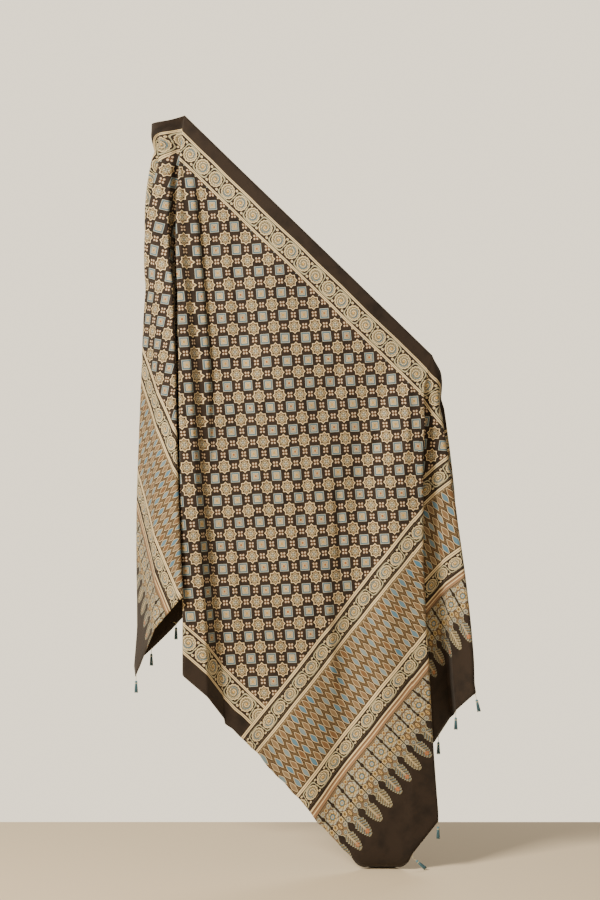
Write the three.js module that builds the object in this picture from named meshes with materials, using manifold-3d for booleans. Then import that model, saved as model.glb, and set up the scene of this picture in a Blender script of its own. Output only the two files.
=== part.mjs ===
// A block-printed ajrakh dupatta with small tassels along both ends, hanging from two points of its
// long top edge. Millimetres, Z up, X to the right along the wall, Y away from the viewer.
// The upper hold is the origin.
// The cloth is worked out from its flat shape: u runs along its length, v across it from the top
// edge. Between the holds it is one broad panel. On each side of the panel it is gathered into
// folds that fan out from a hold, and each fold is a row of a table below.
import * as THREE from "three";
import Module from "manifold-3d";

// Flat cloth
const LENGTH = 2482;
const WIDTH = 1040;
const THICKNESS = 1.8;

// Holds, as distances along the top edge from the left end
const UPPER_HOLD_U = 890;
const LOWER_HOLD_U = 1750;

// Lie of the broad panel: where one millimetre along u and along v takes a point
const PANEL_U = { x: 0.7181, z: -0.6959 };
const PANEL_V = { x: -0.606, z: -0.772 };

// Folds
const FOLD_RADIUS = 6.5;
const LEAST_FLAT = 0.1;
const WALK_STEPS = 160;
const SAMPLES_PER_TURN = 5;
const SAMPLES_PER_SOFT_TURN = 3;
const SHARP_TURN = 100;

// How the search for the edge of the cloth along a fold closes in
const EDGE_STEPS = 40;
const EDGE_CLOSING = 0.6;
const LEAST_SLOPE = 1e-6;

// Floor under the hanging corner
const FLOOR_Z = -1884;
const FLOOR_BEND = 36;

// Rows of the grid, as parts of the way from a hold to the edge below it
const ROW_PARTS = [
  0, 0.02, 0.04, 0.065, 0.095, 0.13, 0.17, 0.22, 0.28, 0.35, 0.42, 0.5, 0.58, 0.66, 0.74, 0.82, 0.89,
  0.94, 0.97, 1,
];
const PANEL_COLUMNS = 22;
const CORNER_COLUMN = 0.72;

// Tassels
const TASSELS_PER_END = 12;
const TASSEL_CLEARANCE = 2.2;
const EDGE_INSET = 4;
const STRING_RADIUS = 0.8;
const STRING_LENGTH = 13;
const HEAD_RADIUS = 3.4;
const HEAD_HEIGHT = 8;
const SKIRT_LENGTH = 25;
const SKIRT_RADIUS = 5.2;
const STRANDS = 10;
const INNER_STRANDS = 3;
const STRAND_RADIUS = 1.05;
const ROOT_RADIUS = 0.4;
const ROOTS_APART = 1.9;
const INNER_SHARE = 0.36;
const UNEVEN = [0, 0.02, 0.04, 0.06];
const FUSED = 2;
const STRING_SIDES = 4;
const HEAD_SIDES = 8;
const STRAND_SIDES = 3;
const HEAD_SHAPE = [
  { part: 0, size: 0.35 },
  { part: 0.18, size: 0.8 },
  { part: 0.45, size: 1 },
  { part: 0.72, size: 0.94 },
  { part: 1, size: 0.84 },
];

const DEGREE = Math.PI / 180;

// Distances from a hold at which the table below gives a fold's direction
const STATIONS = { grip: 30, upper: 130, middle: 420, lower: 800, hem: 1250 };

// Folds left of the panel, from the panel to the left end of the top edge. Degrees are the share
// of the half turn of cloth about the upper hold. The five directions are seen from above, 0 to
// the right, 90 away from the viewer, 180 to the left, 270 towards the viewer. Kept is the share
// of the width left where the hold squeezes the cloth.
const LEFT_FOLDS = [
  { fold: "step face", degrees: 2.6, grip: 176, upper: 210, middle: 228, lower: 235, hem: 235, kept: 1 },
  { fold: "raised strip", degrees: 2.4, grip: 166, upper: 180, middle: 180, lower: 180, hem: 180, kept: 1 },
  { fold: "strip back", degrees: 3.2, grip: 140, upper: 85, middle: 86, lower: 86, hem: 86, kept: 0.8 },
  { fold: "back one", degrees: 15.1, grip: 112, upper: 20, middle: 2, lower: 1, hem: 0, kept: 0.4 },
  { fold: "back two", degrees: 13.7, grip: 92, upper: 160, middle: 177, lower: 179, hem: 180, kept: 0.4 },
  { fold: "back three", degrees: 13.3, grip: 92, upper: 20, middle: 3, lower: 1, hem: 0, kept: 0.4 },
  { fold: "back four", degrees: 15.9, grip: 112, upper: 158, middle: 178, lower: 180, hem: 180, kept: 0.4 },
  { fold: "front face", degrees: 5.5, grip: 140, upper: 232, middle: 272, lower: 275, hem: 272, kept: 0.7 },
  { fold: "tuck", degrees: 1.3, grip: 160, upper: 225, middle: 260, lower: 275, hem: 345, kept: 0.7 },
  { fold: "left ridge", degrees: 5, grip: 172, upper: 176, middle: 145, lower: 133, hem: 130, kept: 1 },
  { fold: "left wall", degrees: 8, grip: 180, upper: 140, middle: 123, lower: 117, hem: 108, kept: 1 },
  { fold: "back five", degrees: 16.4, grip: 178, upper: 50, middle: 8, lower: 4, hem: 3, kept: 0.8 },
  { fold: "back six", degrees: 16, grip: 176, upper: 168, middle: 173, lower: 176, hem: 177, kept: 0.8 },
  { fold: "back seven", degrees: 15.9, grip: 178, upper: 40, middle: 8, lower: 4, hem: 4, kept: 0.8 },
];

// Where the left folds start, as an angle about the upper hold at a distance from it
const LEFT_START = [
  { distance: 0, angle: 53 },
  { distance: 130, angle: 51.6 },
  { distance: 420, angle: 47.5 },
  { distance: 600, angle: 46.6 },
  { distance: 1180, angle: 45.6 },
];

// Folds right of the panel, from the panel to the right end of the top edge
const RIGHT_FOLDS = [
  { fold: "front roll", degrees: 3.5, grip: 8, upper: 0, middle: 4, lower: 8, hem: 8, kept: 1 },
  { fold: "tuck back", degrees: 5.5, grip: 14, upper: 150, middle: 180, lower: 178, hem: 178, kept: 0.7 },
  { fold: "tuck return", degrees: 5.5, grip: 14, upper: 20, middle: 0, lower: 0, hem: 0, kept: 0.7 },
  { fold: "dark face", degrees: 4.5, grip: 8, upper: 6, middle: 28, lower: 46, hem: 48, kept: 1 },
  { fold: "steep face", degrees: 2, grip: 6, upper: -15, middle: -50, lower: -75, hem: -78, kept: 1 },
  { fold: "lit face", degrees: 5, grip: 14, upper: 0, middle: -12, lower: -54, hem: -54, kept: 1 },
  { fold: "ridge back", degrees: 9.2, grip: 60, upper: 100, middle: 116, lower: 108, hem: 106, kept: 0.7 },
  { fold: "back return", degrees: 7.3, grip: 80, upper: 160, middle: 174, lower: 174, hem: 174, kept: 0.7 },
  { fold: "edge leg", degrees: 10.9, grip: 80, upper: 30, middle: 8, lower: 6, hem: 6, kept: 0.7 },
];

// Where the right folds start, as an angle about the lower hold at a distance from it
const RIGHT_START = [
  { distance: 0, angle: 75 },
  { distance: 75, angle: 70 },
  { distance: 160, angle: 60.5 },
  { distance: 370, angle: 57 },
  { distance: 745, angle: 54 },
  { distance: 1100, angle: 52.5 },
];

// How far a hold spreads the far folds sideways, and where that begins and is gone again: as
// distances from the hold, and as parts of the way through the folds
const LEFT_SPREAD = -22;
const RIGHT_SPREAD = 9;
const SPREAD_GROWS = { from: 0, to: 60 };
const SPREAD_FADES = { from: 250, to: 800 };
const SPREAD_FOLDS = { from: 0.4, to: 0.7 };

// Distances from a hold over which the squeeze of its grip wears off
const GRIP_FADES = { from: 20, to: 160 };

// How far a line of cloth under a hold reaches, against its flat length, a part of the way through
// the folds. On the bias it reaches further.
const LEFT_REACH = [
  { part: 0, reach: 1.0388 },
  { part: 0.4, reach: 1.012 },
  { part: 0.54, reach: 1.012 },
  { part: 0.65, reach: 1.055 },
  { part: 1, reach: 1 },
];
const RIGHT_REACH = [
  { part: 0, reach: 1.0388 },
  { part: 0.52, reach: 1.03 },
  { part: 1, reach: 0.975 },
];

// Soft folds of the broad panel: a line from its head to its foot, how far it spreads to each
// side, and how far it stands back from the panel. Forward folds are negative.
const SOFT_FOLDS = [
  { fold: "long valley", headX: 455, headZ: -760, footX: 378, footZ: -1820, spread: 46, back: 17 },
  { fold: "valley shoulder", headX: 540, headZ: -740, footX: 505, footZ: -1500, spread: 60, back: -16 },
  { fold: "right ridge", headX: 605, headZ: -700, footX: 628, footZ: -1700, spread: 42, back: -12 },
  { fold: "left slope", headX: 110, headZ: -190, footX: 150, footZ: -900, spread: 60, back: 6 },
  { fold: "middle swell", headX: 230, headZ: -420, footX: 290, footZ: -1500, spread: 95, back: -15 },
  { fold: "slack at the top", headX: 300, headZ: -330, footX: 560, footZ: -620, spread: 40, back: -8 },
  { fold: "lower left dip", headX: 130, headZ: -1350, footX: 260, footZ: -1690, spread: 50, back: 12 },
];

// The parts of its length over which a soft fold comes at its head and goes at its foot
const SOFT_HEAD = { from: -0.35, to: 0.25 };
const SOFT_FOOT = { from: 0.8, to: 1.3 };

// Distances from a hold over which the panel is pulled flat
const UPPER_FLAT = { from: 30, to: 240 };
const LOWER_FLAT = { from: 0, to: 170 };

// The hanging corner sags: how far it drops and shifts, and how far the sag reaches along each edge
const CORNER_SAG = { drop: 34, shift: -12, alongU: 330, alongV: 115 };

// Tassels that lean: end, number from the top edge, lean to the right and lean back, in degrees
const LEANING = [
  { end: "right", number: 10, right: 50, back: 0 },
  { end: "right", number: 11, right: 95, back: 14 },
  { end: "right", number: 4, right: 12, back: 0 },
  { end: "right", number: 0, right: 6, back: 0 },
];

// Eases from 0 to 1 between two bounds.
function ease(value, { from, to }) {
  const t = Math.min(1, Math.max(0, (value - from) / (to - from)));
  return t * t * (3 - 2 * t);
}

function mix(a, b, t) {
  return a + (b - a) * t;
}

// Reads a value off a list of points by straight lines between them.
function readOff(points, at) {
  if (at <= points[0][0]) return points[0][1];
  for (let i = 1; i < points.length; i++) {
    const [x0, y0] = points[i - 1];
    const [x1, y1] = points[i];
    if (at <= x1) return mix(y0, y1, (at - x0) / (x1 - x0));
  }
  return points[points.length - 1][1];
}

// The direction of a fold at a distance from its hold, in degrees.
function directionOf(row, distance) {
  return readOff(Object.entries(STATIONS).map(([name, at]) => [at, row[name]]), distance);
}

// The angle at which a side's folds start, at a distance from its hold.
function startAngle(rows, distance) {
  return readOff(rows.map((row) => [row.distance, row.angle]), distance);
}

// A point of the panel in the upright plane, from the flat cloth.
function panelPoint(u, v) {
  const along = u - UPPER_HOLD_U;
  return {
    x: along * PANEL_U.x + v * PANEL_V.x,
    z: along * PANEL_U.z + v * PANEL_V.z,
  };
}

// How far the panel stands back at a point of the upright plane.
function standBack(x, z) {
  const lower = panelPoint(LOWER_HOLD_U, 0);
  let back = 0;
  for (const soft of SOFT_FOLDS) {
    const lineX = soft.footX - soft.headX;
    const lineZ = soft.footZ - soft.headZ;
    const length = Math.hypot(lineX, lineZ);
    const alongLine = ((x - soft.headX) * lineX + (z - soft.headZ) * lineZ) / length;
    const across = ((x - soft.headX) * lineZ - (z - soft.headZ) * lineX) / length;
    const fade = ease(alongLine / length, SOFT_HEAD) * (1 - ease(alongLine / length, SOFT_FOOT));
    back += soft.back * fade * Math.exp(-(across * across) / (soft.spread * soft.spread));
  }
  return back * ease(Math.hypot(x, z), UPPER_FLAT)
    * ease(Math.hypot(x - lower.x, z - lower.z), LOWER_FLAT);
}

// Lays whatever would hang below the floor back along it.
function restOnFloor(point) {
  const bendTop = FLOOR_Z + THICKNESS + FLOOR_BEND;
  if (point.z >= bendTop) return point;
  const turned = (bendTop - point.z) / FLOOR_BEND;
  const quarter = Math.PI / 2;
  if (turned < quarter) {
    point.z = bendTop - FLOOR_BEND * Math.sin(turned);
    point.y += FLOOR_BEND * (1 - Math.cos(turned));
    return point;
  }
  point.z = bendTop - FLOOR_BEND;
  point.y += FLOOR_BEND + (turned - quarter) * FLOOR_BEND;
  return point;
}

// A point of the panel in space.
function placePanel(u, v) {
  const { x, z } = panelPoint(u, v);
  const fromEnd = (LENGTH - u) / CORNER_SAG.alongU;
  const fromEdge = (WIDTH - v) / CORNER_SAG.alongV;
  const near = Math.exp(-(fromEnd * fromEnd) - fromEdge * fromEdge);
  const point = new THREE.Vector3(x, standBack(x, z), z);
  point.x += CORNER_SAG.shift * near;
  point.z -= CORNER_SAG.drop * near;
  return restOnFloor(point);
}

// The two gathered sides. Start gives the angle of flat cloth, about the hold and from its long
// direction, where the folds begin, and finish the angle of the top edge where they end.
const LEFT_SIDE = {
  rows: LEFT_FOLDS,
  holdU: UPPER_HOLD_U,
  reach: LEFT_REACH,
  spread: LEFT_SPREAD,
  start: (distance) => startAngle(LEFT_START, distance),
  finish: 180,
};
const RIGHT_SIDE = {
  rows: RIGHT_FOLDS,
  holdU: LOWER_HOLD_U,
  reach: RIGHT_REACH,
  spread: RIGHT_SPREAD,
  start: (distance) => startAngle(RIGHT_START, distance),
  finish: 0,
};

// Flat cloth at an angle about a side's hold.
function flatAt(side, distance, angle) {
  return {
    u: side.holdU + distance * Math.cos(angle * DEGREE),
    v: distance * Math.sin(angle * DEGREE),
  };
}

// The bounds, directions and turns of the folds at a distance from the hold.
function foldsAt(side, distance) {
  const sum = side.rows.reduce((total, row) => total + row.degrees, 0);
  const span = Math.abs(side.finish - side.start(distance)) * DEGREE;
  let at = 0;
  const legs = side.rows.map((row) => {
    const width = (row.degrees / sum) * span;
    const kept = mix(row.kept, 1, ease(distance, GRIP_FADES));
    const leg = { from: at, width, kept, heading: directionOf(row, distance) };
    at += width;
    return leg;
  });
  const turns = legs.slice(1).map((leg, i) => {
    const before = legs[i];
    const bend = Math.abs(leg.heading - before.heading) * DEGREE;
    const most = (1 - LEAST_FLAT) / 2 * Math.min(leg.width, before.width);
    return { at: leg.from, half: Math.min((bend * FOLD_RADIUS) / 2 / distance, most) };
  });
  return { span, legs, turns };
}

// The direction of the cloth, and how far it is squeezed, at an angle into the folds.
function headingAt(folds, angle) {
  let index = folds.legs.findIndex((leg) => angle < leg.from + leg.width);
  if (index < 0) index = folds.legs.length - 1;
  const leg = folds.legs[index];
  const before = folds.turns[index - 1];
  const after = folds.turns[index];
  if (before && angle < before.at + before.half) {
    const t = (angle - before.at + before.half) / (2 * before.half);
    return [mix(folds.legs[index - 1].heading, leg.heading, t), leg.kept];
  }
  if (after && angle > after.at - after.half) {
    const t = (angle - after.at + after.half) / (2 * after.half);
    return [mix(leg.heading, folds.legs[index + 1].heading, t), leg.kept];
  }
  return [leg.heading, leg.kept];
}

// Walks through the folds at a distance from the hold and gives the way from the hold to the cloth,
// for each millimetre of that distance.
function walk(side, distance, share) {
  const folds = foldsAt(side, distance);
  const begin = flatAt(side, 1, side.start(distance));
  const hold = panelPoint(side.holdU, 0);
  const first = panelPoint(begin.u, begin.v);
  const ray = new THREE.Vector3(first.x - hold.x, 0, first.z - hold.z);
  ray.normalize();
  const across = new THREE.Vector3();
  const away = new THREE.Vector3();
  const step = (share * folds.span) / WALK_STEPS;
  for (let i = 0; i < WALK_STEPS; i++) {
    const [heading, kept] = headingAt(folds, (i + 0.5) * step);
    across.set(1, 0, 0).addScaledVector(ray, -ray.x).normalize();
    away.set(0, 1, 0).addScaledVector(ray, -ray.y).addScaledVector(across, -across.y).normalize();
    ray.addScaledVector(across, Math.cos(heading * DEGREE) * step * kept);
    ray.addScaledVector(away, Math.sin(heading * DEGREE) * step * kept);
    ray.normalize();
  }
  return ray.multiplyScalar(readOff(side.reach.map((row) => [row.part, row.reach]), share));
}

// The angle of flat cloth a share of the way through a side's folds.
function angleAt(side, distance, share) {
  return mix(side.start(distance), side.finish, share);
}

// A point of a gathered side in space.
function placeSide(side, distance, share) {
  const hold = panelPoint(side.holdU, 0);
  if (distance === 0) return new THREE.Vector3(hold.x, 0, hold.z);
  const begin = flatAt(side, distance, side.start(distance));
  const edge = panelPoint(begin.u, begin.v);
  const point = walk(side, distance, share).multiplyScalar(distance);
  const spread = side.spread * ease(distance, SPREAD_GROWS) * (1 - ease(distance, SPREAD_FADES));
  point.x += hold.x + spread * ease(share, SPREAD_FOLDS);
  point.y += standBack(edge.x, edge.z);
  point.z += hold.z;
  return restOnFloor(point);
}

// How far from the hold the cloth's edge is, along a column of the folds. The angle of a column
// changes with the distance, so this closes in on the edge step by step.
function edgeDistance(side, shareOf) {
  const run = side.finish === 0 ? LENGTH - side.holdU : side.holdU;
  let distance = WIDTH;
  for (let i = 0; i < EDGE_STEPS; i++) {
    const angle = angleAt(side, distance, shareOf(distance)) * DEGREE;
    const toSide = WIDTH / Math.max(LEAST_SLOPE, Math.sin(angle));
    const outward = side.finish === 0 ? Math.cos(angle) : -Math.cos(angle);
    const toEnd = run / Math.max(LEAST_SLOPE, outward);
    distance = mix(distance, Math.min(toSide, toEnd), EDGE_CLOSING);
  }
  return distance;
}

// A column through the flat of a fold: part 0 is its first side, 1 its last. A column gives a share
// of the way through the folds, which may change with the distance.
function flatColumn(side, i, part) {
  return (distance) => {
    const folds = foldsAt(side, distance);
    const before = folds.turns[i - 1];
    const after = folds.turns[i];
    const from = before ? before.at + before.half : 0;
    const to = after ? after.at - after.half : folds.span;
    return mix(from, to, part) / folds.span;
  };
}

// The parts of a fold's flat that columns go through: its middle, and the corner if it lies there.
function partsOfFlat(side, i) {
  const run = side.finish === 0 ? LENGTH - side.holdU : side.holdU;
  const distance = Math.hypot(run, WIDTH);
  const angle = Math.atan2(WIDTH, run) / DEGREE;
  const start = side.start(distance);
  const corner = (Math.abs(side.finish - angle) - start) / (side.finish - start);
  const [first, last] = [0, 1].map((part) => flatColumn(side, i, part)(distance));
  const part = (corner - first) / (last - first);
  return part > 0 && part < 1 ? [0.5, part].sort() : [0.5];
}

// Columns of the grid through a side's folds.
function sideColumns(side) {
  const columns = [];
  const far = foldsAt(side, STATIONS.hem);
  far.legs.forEach((leg, i) => {
    const turn = far.turns[i];
    columns.push(...partsOfFlat(side, i).map((part) => flatColumn(side, i, part)));
    if (!turn) return;
    const bend = Math.abs(far.legs[i + 1].heading - leg.heading);
    const count = bend > SHARP_TURN ? SAMPLES_PER_TURN : SAMPLES_PER_SOFT_TURN;
    for (let k = 0; k < count; k++) {
      const part = (2 * k) / (count - 1) - 1;
      columns.push((distance) => {
        const folds = foldsAt(side, distance);
        return (folds.turns[i].at + part * folds.turns[i].half) / folds.span;
      });
    }
  });
  columns.push(() => 1);
  return columns;
}

// One column down a side, from the hold to the edge: each place in space and on the flat cloth.
function sideLine(side, shareOf) {
  const end = edgeDistance(side, shareOf);
  return ROW_PARTS.map((part) => {
    const distance = part * end;
    const share = distance > 0 ? shareOf(distance) : 0;
    const flat = flatAt(side, distance, angleAt(side, distance, share));
    return { point: placeSide(side, distance, share), flat };
  });
}

// The flat cloth's outline of the broad panel, at a part of the way down its two sides.
function panelSide(side, part) {
  const end = edgeDistance(side, () => 0);
  return flatAt(side, part * end, side.start(part * end));
}

// One point of the broad panel: s runs from its left side to its right, part down it.
function panelFlat(s, part) {
  const left = panelSide(LEFT_SIDE, part);
  const right = panelSide(RIGHT_SIDE, part);
  const lowLeft = panelSide(LEFT_SIDE, 1);
  const lowRight = panelSide(RIGHT_SIDE, 1);
  const alongLow = LENGTH - lowLeft.u;
  const alongEnd = WIDTH - lowRight.v;
  const run = s * (alongLow + alongEnd);
  const low = run < alongLow
    ? { u: lowLeft.u + run, v: WIDTH }
    : { u: LENGTH, v: WIDTH - (run - alongLow) };
  const top = { u: mix(UPPER_HOLD_U, LOWER_HOLD_U, s), v: 0 };
  const blend = (key) => mix(left[key], right[key], s) + mix(top[key], low[key], part)
    - mix(top[key], mix(lowLeft[key], lowRight[key], s), part);
  return { u: blend("u"), v: blend("v") };
}

// Every column of the cloth from the left end of the top edge to the right end.
function clothColumns() {
  const left = sideColumns(LEFT_SIDE).map((shareOf) => sideLine(LEFT_SIDE, shareOf)).reverse();
  const right = sideColumns(RIGHT_SIDE).map((shareOf) => sideLine(RIGHT_SIDE, shareOf));
  const lowLeft = panelSide(LEFT_SIDE, 1);
  const lowRight = panelSide(RIGHT_SIDE, 1);
  const corner = (LENGTH - lowLeft.u) / (LENGTH - lowLeft.u + WIDTH - lowRight.v);
  const before = Math.round(PANEL_COLUMNS * CORNER_COLUMN);
  const panel = [];
  for (let i = 0; i <= PANEL_COLUMNS; i++) {
    const s = i <= before
      ? (corner * i) / before
      : mix(corner, 1, (i - before) / (PANEL_COLUMNS - before));
    panel.push(ROW_PARTS.map((part) => {
      const flat = panelFlat(s, part);
      return { point: placePanel(flat.u, flat.v), flat };
    }));
  }
  return [...left, ...panel, ...right];
}

// The middle surface of the cloth: the columns meet in one point at each hold.
function middleSurface(columns) {
  const points = [];
  const keys = new Map();
  const numberOf = (point) => {
    const key = [point.x, point.y, point.z].map((n) => n.toFixed(4)).join();
    if (!keys.has(key)) {
      keys.set(key, points.length);
      points.push(point);
    }
    return keys.get(key);
  };
  const grid = columns.map((column) => column.map(({ point }) => numberOf(point)));
  const faces = [];
  const addFace = (a, b, c) => {
    if (a !== b && b !== c && c !== a) faces.push([a, b, c]);
  };
  for (let i = 1; i < grid.length; i++) {
    for (let j = 1; j < ROW_PARTS.length; j++) {
      addFace(grid[i - 1][j - 1], grid[i - 1][j], grid[i][j]);
      addFace(grid[i - 1][j - 1], grid[i][j], grid[i][j - 1]);
    }
  }
  return { points, faces };
}

// Gives a surface its thickness: a front and a back sheet and a rim round the open edge.
function thicken(surface, thickness) {
  const { points, faces } = surface;
  const normals = points.map(() => new THREE.Vector3());
  const open = new Map();
  for (const [a, b, c] of faces) {
    const ab = points[b].clone().sub(points[a]);
    const ac = points[c].clone().sub(points[a]);
    const normal = ab.cross(ac).normalize();
    for (const n of [a, b, c]) normals[n].add(normal);
    for (const [p, q] of [[a, b], [b, c], [c, a]]) {
      if (open.has(q + " " + p)) open.delete(q + " " + p);
      else open.set(p + " " + q, [p, q]);
    }
  }
  const count = points.length;
  const all = new Float32Array(count * 6);
  points.forEach((point, i) => {
    const half = normals[i].normalize().multiplyScalar(thickness / 2);
    point.clone().add(half).toArray(all, i * 3);
    point.clone().sub(half).toArray(all, (count + i) * 3);
  });
  const index = [];
  for (const [a, b, c] of faces) {
    index.push(a, b, c);
    index.push(count + a, count + c, count + b);
  }
  for (const [p, q] of open.values()) {
    index.push(p, count + p, count + q);
    index.push(p, count + q, q);
  }
  const geometry = new THREE.BufferGeometry();
  geometry.setAttribute("position", new THREE.BufferAttribute(all, 3));
  geometry.setIndex(index);
  return geometry;
}

const wasm = await Module();
wasm.setup();

// A geometry as a body that can be joined to others.
function bodyOf(geometry) {
  const plain = geometry.index ? geometry.toNonIndexed() : geometry;
  const position = plain.getAttribute("position");
  const mesh = new wasm.Mesh({
    numProp: 3,
    vertProperties: new Float32Array(position.array),
    triVerts: Uint32Array.from({ length: position.count }, (_, i) => i),
  });
  mesh.merge();
  return new wasm.Manifold(mesh);
}

// A body as a geometry again.
function geometryOf(body) {
  const mesh = body.getMesh();
  const geometry = new THREE.BufferGeometry();
  geometry.setAttribute("position", new THREE.BufferAttribute(mesh.vertProperties.slice(), 3));
  geometry.setIndex(new THREE.BufferAttribute(mesh.triVerts.slice(), 1));
  return geometry;
}

// A rod with flat ends along a line of points, with a radius at each.
function rod(points, radii, sides) {
  const rings = points.map((point, i) => {
    const before = points[Math.max(0, i - 1)];
    const after = points[Math.min(points.length - 1, i + 1)];
    const way = after.clone().sub(before).normalize();
    const side = new THREE.Vector3(0, 1, 0).cross(way).normalize();
    const up = way.clone().cross(side);
    return Array.from({ length: sides }, (_, k) => {
      const turn = (2 * Math.PI * k) / sides;
      return point.clone()
        .addScaledVector(side, radii[i] * Math.cos(turn))
        .addScaledVector(up, radii[i] * Math.sin(turn));
    });
  });
  const corners = rings.flat();
  const index = [];
  for (let i = 1; i < rings.length; i++) {
    for (let k = 0; k < sides; k++) {
      const a = (i - 1) * sides + k;
      const b = (i - 1) * sides + ((k + 1) % sides);
      index.push(a, b, b + sides);
      index.push(a, b + sides, a + sides);
    }
  }
  const last = (rings.length - 1) * sides;
  for (let k = 1; k < sides - 1; k++) {
    index.push(0, k + 1, k);
    index.push(last, last + k, last + k + 1);
  }
  const geometry = new THREE.BufferGeometry().setFromPoints(corners);
  geometry.setIndex(index);
  return geometry;
}

// The strands of a tassel's skirt. The inner ones stand closer round the middle than the outer
// ones, and their lengths are uneven.
function strandBodies(headFoot) {
  const outer = STRANDS - INNER_STRANDS;
  return Array.from({ length: STRANDS }, (_, k) => {
    const inner = k < INNER_STRANDS;
    const turn = 2 * Math.PI * (inner ? k / INNER_STRANDS : (k - INNER_STRANDS) / outer);
    const share = inner ? INNER_SHARE : 1;
    const at = (radius, z) => new THREE.Vector3(
      share * radius * Math.cos(turn),
      share * radius * Math.sin(turn),
      -z,
    );
    const length = SKIRT_LENGTH * (1 - UNEVEN[k % UNEVEN.length]);
    const root = at(ROOTS_APART, headFoot - FUSED);
    const tip = at(SKIRT_RADIUS - STRAND_RADIUS, headFoot + length);
    return bodyOf(rod([root, tip], [ROOT_RADIUS, STRAND_RADIUS], STRAND_SIDES));
  });
}

// A tassel that hangs down from the origin: a string, a round head and a skirt of strands.
function tasselBody() {
  const down = (z) => new THREE.Vector3(0, 0, -z);
  const headFoot = STRING_LENGTH + HEAD_HEIGHT;
  const string = rod(
    [down(0), down(STRING_LENGTH + FUSED)],
    [STRING_RADIUS, STRING_RADIUS],
    STRING_SIDES,
  );
  const head = rod(
    HEAD_SHAPE.map(({ part }) => down(STRING_LENGTH + part * HEAD_HEIGHT)),
    HEAD_SHAPE.map(({ size }) => size * HEAD_RADIUS),
    HEAD_SIDES,
  );
  return wasm.Manifold.union([bodyOf(string), bodyOf(head), ...strandBodies(headFoot)]);
}

// The solid of the cloth.
const group = new THREE.Group();
const columns = clothColumns();
const cloth = new THREE.Mesh(
  thicken(middleSurface(columns), THICKNESS),
  new THREE.MeshStandardMaterial({ color: 0x4a3a32, roughness: 0.9 }),
);
cloth.name = "cloth";
group.add(cloth);

// The place on an end of the cloth at a distance v from the top edge, and the way out of it.
function endPlace(end, v) {
  const endU = end === "left" ? 0 : LENGTH;
  const line = columns
    .map((column) => ({ last: column.at(-1), before: column.at(-2) }))
    .filter(({ last }) => Math.abs(last.flat.u - endU) < EDGE_INSET)
    .sort((a, b) => a.last.flat.v - b.last.flat.v);
  const after = line.findIndex(({ last }) => last.flat.v >= v);
  const [a, b] = [line[after - 1], line[after]];
  const part = (v - a.last.flat.v) / (b.last.flat.v - a.last.flat.v);
  const tip = a.last.point.clone().lerp(b.last.point, part);
  const inside = a.before.point.clone().lerp(b.before.point, part);
  return { tip, outward: tip.clone().sub(inside).normalize() };
}

const tasselGeometry = geometryOf(tasselBody());
for (const end of ["left", "right"]) {
  for (let number = 0; number < TASSELS_PER_END; number++) {
    const v = mix(EDGE_INSET, WIDTH - EDGE_INSET, number / (TASSELS_PER_END - 1));
    const lean = LEANING.find((row) => row.end === end && row.number === number)
      ?? { right: 0, back: 0 };
    const tassel = new THREE.Mesh(
      tasselGeometry,
      new THREE.MeshStandardMaterial({ color: 0x2f5a63, roughness: 0.9 }),
    );
    tassel.name = `tassel_${end}_${String(number + 1).padStart(2, "0")}`;
    const { tip, outward } = endPlace(end, v);
    tassel.position.copy(tip).addScaledVector(outward, TASSEL_CLEARANCE);
    tassel.rotation.set(-lean.back * DEGREE, -lean.right * DEGREE, 0);
    group.add(tassel);
  }
}

export default group;
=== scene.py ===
import math

import bpy
import mathutils
import numpy as np
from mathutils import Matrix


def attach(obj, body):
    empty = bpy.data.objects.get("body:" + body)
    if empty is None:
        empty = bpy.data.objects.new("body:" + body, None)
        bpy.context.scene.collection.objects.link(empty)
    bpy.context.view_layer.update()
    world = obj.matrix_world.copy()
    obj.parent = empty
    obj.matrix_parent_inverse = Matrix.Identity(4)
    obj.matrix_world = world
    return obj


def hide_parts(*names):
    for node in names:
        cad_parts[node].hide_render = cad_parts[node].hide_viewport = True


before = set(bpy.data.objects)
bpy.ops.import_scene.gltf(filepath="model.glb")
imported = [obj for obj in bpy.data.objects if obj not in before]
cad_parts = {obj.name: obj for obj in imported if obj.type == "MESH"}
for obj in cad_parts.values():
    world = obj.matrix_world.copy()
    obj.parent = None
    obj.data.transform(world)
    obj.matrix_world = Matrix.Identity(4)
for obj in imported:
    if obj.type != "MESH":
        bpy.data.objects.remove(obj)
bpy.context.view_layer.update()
MM = 0.001

# Sizes are in millimetres and angles in degrees. A place on the flat cloth is u, along its long top
# edge, and v, down from that edge.
LENGTH = 2482
WIDTH = 1040
THICKNESS = 0.9
# The two points of the top edge that are held
UPPER_HOLD_U = 890
LOWER_HOLD_U = 1750
# Where a step along the cloth and a step across it lead in the panel, as x and z
PANEL_U = (0.7181, -0.6959)
PANEL_V = (-0.606, -0.772)
# Radius of the turns between folds, and the least share of a fold that stays flat
FOLD_RADIUS = 6.5
LEAST_FLAT = 0.1
WALK_STEPS = 520
# The floor, and the radius with which the cloth bends onto it
FLOOR_Z = -1884
FLOOR_BEND = 36
CAD_THICKNESS = 1.8

# Distances from the hold at which headings are given: 0 leads right, 90 back and 180 left
STATIONS = (30, 130, 420, 800, 1250)
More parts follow.
